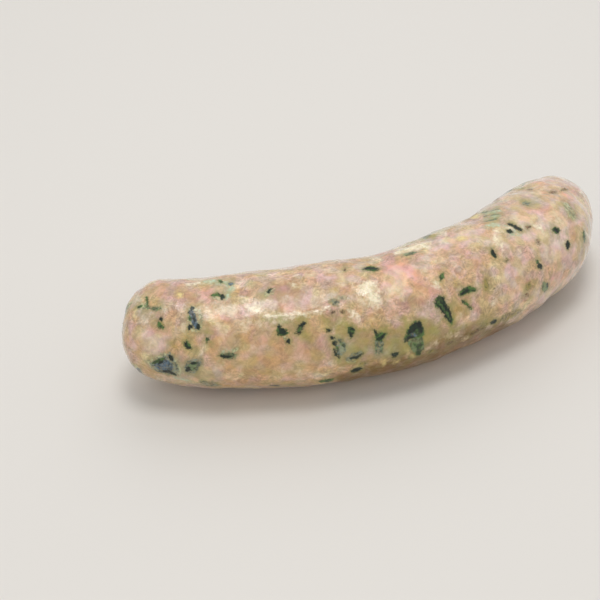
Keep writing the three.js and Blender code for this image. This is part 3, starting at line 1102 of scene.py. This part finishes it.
        # Soft tinges of the meat, with the painted shade and painted sheen among them.
        depth, tint, cover = self.layer(sheet, Layer.STAIN)
        broad = self.noise(sheet, mm, scale=0.4, detail=0.5, rough=0.5)
        dark, light = (0.82, 0.81, 0.76, 1.0), (1.06, 1.07, 1.05, 1.0)
        tint = self.varied(sheet, broad, tint, 0.38, 0.62, dark, light)
        tinge_shade_sheen_share = (depth + (blotch - 0.5) * 6.0).stepped(-1.4, 2.2)
        colour = sheet.blend(tinge_shade_sheen_share * cover * (0.7 + broad.stepped(0.4, 0.6) * 0.2), colour, tint)
        warmth = self.noise(sheet, mm, scale=0.26, detail=0.5, rough=0.5)
        dark, light = (1.02, 0.98, 0.84, 1.0), (1.02, 0.99, 1.16, 1.0)
        colour = self.varied(sheet, warmth, colour, 0.4, 0.6, dark, light)
        bloom = self.noise(sheet, mm, scale=0.31, detail=0.5, rough=0.5)
        dark, light = (0.95, 1.0, 0.92, 1.0), (1.05, 0.98, 1.0, 1.0)
        colour = self.varied(sheet, bloom, colour, 0.38, 0.62, dark, light)
        # Fat, some of it painted highlight of the casing.
        depth, tint, cover = self.layer(sheet, Layer.FAT)
        dark, light = (0.84, 0.81, 0.72, 1.0), (1.04, 1.04, 1.04, 1.0)
        tint = self.varied(sheet, mottle, tint, 0.4, 0.58, dark, light)
        dark, light = (0.9, 0.88, 0.84, 1.0), (1.05, 1.05, 1.05, 1.0)
        tint = self.varied(sheet, grain, tint, 0.4, 0.6, dark, light)
        ragged = (grain - 0.5) * 3.4 + (mottle - 0.5) * 2.0
        colour = sheet.blend((depth + ragged).stepped(-0.9, 1.2) * cover, colour, tint)
        depth, tint, cover = self.layer(sheet, Layer.LEAF)
        haze = (depth + (blotch - 0.5) * 9.0 + (grain - 0.5) * 3.0).stepped(-2.2, 0.6)
        colour = sheet.blend(haze * cover * 0.45, colour, self.haze)
        rim = (depth + (grain - 0.5) * 2.4).stepped(-0.8, 0.1)
        colour = sheet.blend(rim * cover * 0.34, colour, self.rim)
        veins = self.noise(sheet, mm, scale=1.0, detail=3.0, rough=0.6)
        dark, light = (0.46, 0.52, 0.48, 1.0), (1.8, 1.7, 1.55, 1.0)
        tint = self.varied(sheet, veins, tint, 0.43, 0.57, dark, light)
        torn = depth + (grain - 0.5) * 1.4 + (shred - 0.5) * 1.0 + (blotch - 0.5) * 0.6
        worn = self.noise(sheet, mm, scale=1.5, detail=2.0, rough=0.5)
        holes = worn.stepped(0.54, 0.42) * (1.0 - cover).stepped(0.04, 0.16) * 0.6
        return sheet.blend(torn.stepped(-0.28, 0.3) * cover * (1.0 - holes), colour, tint)

    @staticmethod
    def varied(
        sheet: NodeSheet, share: Shade, tint: Shade, low: float, high: float, dark: Colour, light: Colour
    ) -> Shade:
        """Lets a tint run from darker to lighter.

        Args:
            sheet: Node sheet of the material.
            share: Pattern that the tint follows.
            tint: The tint.
            low: Value of the pattern at which the tint is darkest.
            high: Value at which it is lightest.
            dark: Share of each channel where it is darkest.
            light: Share of each channel where it is lightest.

        Returns:
            The varied tint.
        """
        darker = sheet.blend(1.0, tint, dark, "MULTIPLY")
        lighter = sheet.blend(1.0, tint, light, "MULTIPLY")
        return sheet.blend(share.stepped(low, high), darker, lighter)

    @staticmethod
    def layer(sheet: NodeSheet, layer: Layer) -> tuple[Shade, Shade, Shade]:
        """Reads a layer of marks from the skin.

        Args:
            sheet: Node sheet of the material.
            layer: Which layer.

        Returns:
            Depth inside the marks in millimetres, their colour and their cover.
        """
        colour = f"{layer.value}_colour"
        depth = sheet.attribute(f"{layer.value}_depth", "Fac")
        return depth, sheet.attribute(colour, "Color"), sheet.attribute(colour, "Alpha")

    def relief(self, sheet: NodeSheet, mm: Shade, grain: Shade) -> Shade:
        """Makes the small unevenness of the casing that breaks up its shine.

        Args:
            sheet: Node sheet of the material.
            mm: Place in millimetres.
            grain: Fine grain.

        Returns:
            The bumped normal.
        """
        beads = self.noise(sheet, mm, scale=0.5, detail=2.0, rough=0.5)
        sockets = {"Strength": 0.8, "Distance": self.bead_height, "Height": beads + grain * 0.45}
        return sheet.shade("ShaderNodeBump", "Normal", {}, sockets)


@dataclass
class SausageLink:
    """The link itself: the smooth, lumpy skin over the solid, with its marks."""

    camera: PhotoCamera
    node: str = "sausage_link"
    merge_gap: float = 0.002 * MM
    pairing_deg: float = 60.0
    smoothing: int = 2
    lump_length: float = 6.0 * MM
    lump_rise: float = 0.7 * MM
    bead_length: float = 2.4 * MM
    bead_rise: float = 0.16 * MM
    crease_rise: float = 0.24 * MM
    crease_slope_mm: float = 0.5
    pressed_height: float = 2.5 * MM
    pucker_radius: float = 8.0 * MM
    pucker_depth: float = 0.45 * MM
    pucker_creases: int = 11
    pucker_middle: float = 0.25
    pucker_swing: float = 0.6
    hidden_leaves: int = 60
    hidden_fats: int = 44
    hidden_tinges_shades_sheens: int = 40
    leaf_group: float = 11.0
    scatter_reach: float = 36.0
    stretch: float = 1.7
    unseen_turn: float = -0.12
    refine_margin_mm: float = 0.5
    bare_depth_mm: float = -3.0
    bare_colour: Colour = (0.5, 0.5, 0.5, 0.0)
    seed: int = 7
    joins: dict = field(default_factory=lambda: {Layer.STAIN: 2.4, Layer.FAT: 0.6, Layer.LEAF: 0.25})
    piece: bpy.types.Object = field(init=False, default=None)
    tips: list = field(init=False, default_factory=list)

    def build(self) -> bpy.types.Object:
        """Models the skin and lays the marks on it.

        Returns:
            The finished piece.
        """
        self.copy_solid()
        self.find_tips()
        self.add_modifier("SUBSURF", levels=self.smoothing, render_levels=self.smoothing)
        self.pucker_tips()
        self.lump_up("mince_lumps", self.lump_length, self.lump_rise)
        spots = self.hidden_spots() + [Veil(mark, self.camera) for mark in TINGES_SHADES_SHEENS]
        spots += self.seen_spots(FATS + LEAVES)
        folds = self.seen_spots(CREASES)
        self.refine([spot for spot in spots if spot.mark.tone.layer is Layer.LEAF] + folds)
        self.lump_up("mince_beads", self.bead_length, self.bead_rise)
        self.raise_creases(folds)
        self.lay_marks(spots)
        bpy.ops.object.shade_smooth()
        return self.piece

    def copy_solid(self) -> None:
        """Copies the solid, merges its loose triangles and pairs them into quads."""
        bpy.ops.object.select_all(action="DESELECT")
        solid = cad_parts[self.node]
        solid.select_set(True)
        bpy.context.view_layer.objects.active = solid
        bpy.ops.object.duplicate()
        self.piece = bpy.context.object
        self.piece.name = "cased_sausage"
        self.piece.data.name = "cased_sausage"
        self.piece.data.materials.clear()
        bpy.ops.object.mode_set(mode="EDIT")
        bpy.ops.mesh.select_all(action="SELECT")
        bpy.ops.mesh.remove_doubles(threshold=self.merge_gap)
        pairing = math.radians(self.pairing_deg)
        bpy.ops.mesh.tris_convert_to_quads(face_threshold=pairing, shape_threshold=pairing)
        bpy.ops.mesh.normals_make_consistent(inside=False)
        bpy.ops.object.mode_set(mode="OBJECT")

    def find_tips(self) -> None:
        """Finds the two tips, where the most edges meet."""
        meeting = np.zeros(len(self.piece.data.vertices), int)
        for edge in self.piece.data.edges:
            for corner in edge.vertices:
                meeting[corner] += 1
        self.tips = [self.piece.data.vertices[int(i)].co.copy() for i in np.argsort(-meeting)[:2]]

    def add_modifier(self, kind: str, **settings: object) -> None:
        """Adds a modifier and applies it.

        Args:
            kind: Type of the modifier.
            **settings: Its settings.
        """
        modifier = self.piece.modifiers.new(kind.lower(), kind)
        for key, value in settings.items():
            setattr(modifier, key, value)
        bpy.ops.object.modifier_apply(modifier=modifier.name)

    def points(self) -> np.ndarray:
        """Reads the skin's points, one row each."""
        flat = np.empty(len(self.piece.data.vertices) * 3, np.float32)
        self.piece.data.vertices.foreach_get("co", flat)
        return flat.reshape(-1, 3).astype(float)

    def normals(self) -> np.ndarray:
        """Reads the skin's outward directions, one row each."""
        flat = np.empty(len(self.piece.data.vertices) * 3, np.float32)
        self.piece.data.vertex_normals.foreach_get("vector", flat)
        return flat.reshape(-1, 3).astype(float)

    def move_points(self, points: np.ndarray) -> None:
        """Puts the skin's points in new places, none of them below the floor."""
        points[:, 2] = np.maximum(points[:, 2], 0.0)
        self.piece.data.vertices.foreach_set("co", points.astype(np.float32).ravel())
        self.piece.data.update()

    def pucker_tips(self) -> None:
        """Draws the casing at both tips into fine creases that run in towards the middle."""
        points, normals = self.points(), self.normals()
        for number, tip in enumerate(self.tips):
            away = points - np.array(tip)
            near = np.linalg.norm(away, axis=1) < self.pucker_radius
            outward = normals[near].mean(0)
            outward /= np.linalg.norm(outward)
            side = np.cross(outward, (0.0, 0.0, 1.0))
            side /= np.linalg.norm(side)
            up = np.cross(side, outward)
            reach = np.linalg.norm(away[near], axis=1) / self.pucker_radius
            angle = np.arctan2(away[near] @ up, away[near] @ side)
            crease = np.cos(self.pucker_creases * angle + 2.0 * np.sin(2.0 * angle + number))
            share = np.clip(reach / self.pucker_middle, 0.0, 1.0) * (1.0 - reach) ** 2
            drop = self.pucker_depth * share * (self.pucker_swing - self.pucker_swing * crease)
            points[near] -= outward * drop[:, None]
        self.move_points(points)

    def lump_up(self, name: str, length: float, rise: float) -> None:
        """Pushes the skin in and out by a soft lumpy pattern, but not where it presses on the floor.

        Args:
            name: Name of the pattern.
            length: Length of a lump.
            rise: Full height of the lumps.
        """
        pattern = bpy.data.textures.new(name, "CLOUDS")
        pattern.noise_scale = length
        pattern.noise_depth = 1
        free = self.piece.vertex_groups.new(name=name)
        for vertex in self.piece.data.vertices:
            share = min(max(vertex.co.z / self.pressed_height, 0.0), 1.0)
            free.add([vertex.index], share * share, "REPLACE")
        self.add_modifier(
            "DISPLACE", texture=pattern, texture_coords="LOCAL", strength=rise, mid_level=0.5, vertex_group=name
        )
        self.piece.vertex_groups.remove(self.piece.vertex_groups[name])
        self.move_points(self.points())

    def tree(self) -> BVHTree:
        """Search tree of the skin, for lines of sight."""
        mesh = self.piece.data
        return BVHTree.FromPolygons([v.co for v in mesh.vertices], [tuple(p.vertices) for p in mesh.polygons])

    def seen_spots(self, marks: tuple[Mark, ...]) -> list[Spot]:
        """Lays marks that the photograph shows where their lines of sight meet the skin.

        Args:
            marks: The marks.

        Returns:
            The laid marks.
        """
        tree = self.tree()
        eye = Vector(self.camera.place)
        spots = []
        for mark in marks:
            hit, normal, _, distance = tree.ray_cast(eye, self.camera.sight(mark.middle))
            if hit is None:
                log.warning("%s is off the link", mark.name)
                continue
            pixel = distance / self.camera.focal_px
            steps = []
            for shift in ((1.0, 0.0), (0.0, 1.0)):
                sight = self.camera.sight((mark.middle[0] + shift[0], mark.middle[1] + shift[1]))
                step = eye + sight * ((hit - eye).dot(normal) / sight.dot(normal)) - hit
                steps.append(np.array(step * min(1.0, self.stretch * pixel / step.length)))
            spots.append(Spot(mark, np.array(hit), np.array(normal), steps[0], steps[1]))
        return spots

    def hidden_spots(self) -> list[Spot]:
        """Scatters marks like the seen ones over the sides that the photograph does not show.

        Returns:
            The scattered marks, leaf in the groups that the seen ones make.
        """
        chance = random.Random(self.seed)
        points, normals = self.points(), self.normals()
        sights = points - np.array(self.camera.place)
        pixel = float(np.linalg.norm(sights, axis=1).mean()) / self.camera.focal_px
        sights /= np.linalg.norm(sights, axis=1)[:, None]
        unseen = np.nonzero((sights * normals).sum(1) > self.unseen_turn)[0]
        spots = []
        # Scattered copies of these soft marks can carry painted shade and painted sheen as well.
        counts = ((TINGES_SHADES_SHEENS, self.hidden_tinges_shades_sheens), (FATS, self.hidden_fats), (LEAVES, self.hidden_leaves))
        for marks, count in counts:
            for _ in range(count):
                anchor = chance.choice([mark for mark in marks if mark.reach < self.scatter_reach])
                here = int(unseen[chance.randrange(len(unseen))])
                across = np.cross(normals[here], (chance.gauss(0, 1), chance.gauss(0, 1), chance.gauss(0, 1)))
                across *= pixel / np.linalg.norm(across)
                down = np.cross(normals[here], across)
                for mark in marks:
                    shift = np.subtract(mark.middle, anchor.middle)
                    if mark is anchor or (marks is LEAVES and np.linalg.norm(shift) < self.leaf_group):
                        middle = points[here] + shift[0] * across + shift[1] * down
                        spots.append(Spot(mark, middle, normals[here], across, down))
        return spots

    def refine(self, spots: list[Spot]) -> None:
        """Splits the faces at some marks once more, so that their edges come out sharp.

        Args:
            spots: The laid marks.
        """
        points, normals = self.points(), self.normals()
        close = np.zeros(len(points), bool)
        for spot in spots:
            near, depth = spot.depths(points, normals)
            close[near[depth > -self.refine_margin_mm]] = True
        bpy.ops.object.mode_set(mode="EDIT")
        bpy.ops.mesh.select_mode(type="FACE")
        bpy.ops.mesh.select_all(action="DESELECT")
        bpy.ops.object.mode_set(mode="OBJECT")
        for polygon in self.piece.data.polygons:
            polygon.select = any(close[corner] for corner in polygon.vertices)
        bpy.ops.object.mode_set(mode="EDIT")
        bpy.ops.mesh.subdivide(number_cuts=1, smoothness=1.0)
        bpy.ops.object.mode_set(mode="OBJECT")

    def raise_creases(self, folds: list[Spot]) -> None:
        """Raises the fine folds of the casing.

        Args:
            folds: The folds, as laid marks.
        """
        points, normals = self.points(), self.normals()
        rise = np.zeros(len(points))
        for fold in folds:
            near, depth = fold.depths(points, normals)
            rise[near] = np.maximum(rise[near], np.clip(depth / self.crease_slope_mm, 0.0, 1.0) ** 2)
        self.move_points(points + normals * (rise * self.crease_rise)[:, None])

    def lay_marks(self, spots: list[Union[Spot, Veil]]) -> None:
        """Stores each layer's depth and colour on the skin for the material to read.

        Args:
            spots: The laid marks.
        """
        points, normals = self.points(), self.normals()
        for layer in Layer:
            deepest = np.full(len(points), self.bare_depth_mm)
            colours = np.tile(np.array(self.bare_colour), (len(points), 1))
            for spot in spots:
                if spot.mark.tone.layer is layer:
                    near, depth = spot.depths(points, normals)
                    share = np.clip(0.5 + depth / self.joins[layer], 0.0, 1.0)
                    share[depth > deepest[near]] = 1.0
                    colours[near] += (np.array(spot.mark.tone.colour) - colours[near]) * share[:, None]
                    deepest[near] = np.maximum(deepest[near], depth)
            depths = self.piece.data.attributes.new(f"{layer.value}_depth", "FLOAT", "POINT")
            depths.data.foreach_set("value", deepest.astype(np.float32))
            tints = self.piece.data.attributes.new(f"{layer.value}_colour", "FLOAT_COLOR", "POINT")
            tints.data.foreach_set("color", colours.astype(np.float32).ravel())

    def dress(self, finish: CasedMeat) -> None:
        """Gives the skin its finish and its place on the part.

        Args:
            finish: Finish of the link.
        """
        self.piece.data.materials.append(finish.build())
        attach(self.piece, "root")
        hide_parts(self.node)


@dataclass(frozen=True)
class Studio:
    """Pale floor and soft light."""

    floor_size: float = 6.0
    floor_colour: Colour = srgb(222, 218, 212)
    floor_roughness: float = 0.7
    ambient: float = 0.6
    overhead_place: tuple[float, float, float] = (-0.03, -0.02, 0.8)
    overhead_size: float = 0.28
    overhead_watts: float = 1.8
    fill_place: tuple[float, float, float] = (-0.5, -0.6, 0.7)
    fill_size: float = 0.8
    fill_watts: float = 1.2
    back_place: tuple[float, float, float] = (0.35, 0.5, 0.7)
    back_watts: float = 1.8

    def build(self) -> None:
        """Adds the floor, the lights and the sky, and sets the picture's tone."""
        self.lay_floor()
        self.hang_light("overhead_softbox", self.overhead_place, self.overhead_size, self.overhead_watts)
        front = self.hang_light("front_fill", self.fill_place, self.fill_size, self.fill_watts)
        back = self.hang_light("back_fill", self.back_place, self.fill_size, self.back_watts)
        front.visible_glossy = back.visible_glossy = False
        world = bpy.data.worlds.new("studio_sky")
        world.use_nodes = True
        sky = world.node_tree.nodes["Background"]
        sky.inputs["Color"].default_value = (1.0, 1.0, 1.0, 1.0)
        sky.inputs["Strength"].default_value = self.ambient
        bpy.context.scene.world = world
        bpy.context.scene.view_settings.view_transform = "Standard"

    def lay_floor(self) -> None:
        """Lays the pale floor at z = 0."""
        bpy.ops.object.select_all(action="DESELECT")
        bpy.ops.mesh.primitive_plane_add(size=self.floor_size)
        floor = bpy.context.object
        floor.name = "floor"
        sheet = NodeSheet("pale_floor")
        sockets = {"Base Color": self.floor_colour, "Roughness": self.floor_roughness}
        paper = sheet.shade("ShaderNodeBsdfPrincipled", "BSDF", {}, sockets)
        sheet.node("ShaderNodeOutputMaterial", {}, {"Surface": paper})
        floor.data.materials.append(sheet.material)

    @staticmethod
    def hang_light(name: str, place: tuple[float, float, float], size: float, watts: float) -> bpy.types.Object:
        """Hangs a soft square light that faces the link.

        Args:
            name: Name of the light.
            place: Where it hangs.
            size: Length of its side.
            watts: Its power.

        Returns:
            The light.
        """
        facing = (-Vector(place)).to_track_quat("-Z", "Y").to_euler()
        bpy.ops.object.light_add(type="AREA", location=place, rotation=facing)
        light = bpy.context.object
        light.name = name
        light.data.shape = "SQUARE"
        light.data.size = size
        light.data.energy = watts
        return light


def main() -> None:
    """Builds the link, the studio and the camera in order."""
    logging.basicConfig(level=logging.INFO, format="%(name)s: %(message)s")
    camera = PhotoCamera()
    link = SausageLink(camera)
    piece = link.build()
    link.dress(CasedMeat())
    log.info("%s has %d faces", piece.name, len(piece.data.polygons))
    Studio().build()
    log.info("floor and lights are up")
    camera.build()
    log.info("camera looks from azimuth %.1f at %.1f down", camera.azimuth_deg, camera.pitch_deg)


if __name__ == "__main__":
    main()
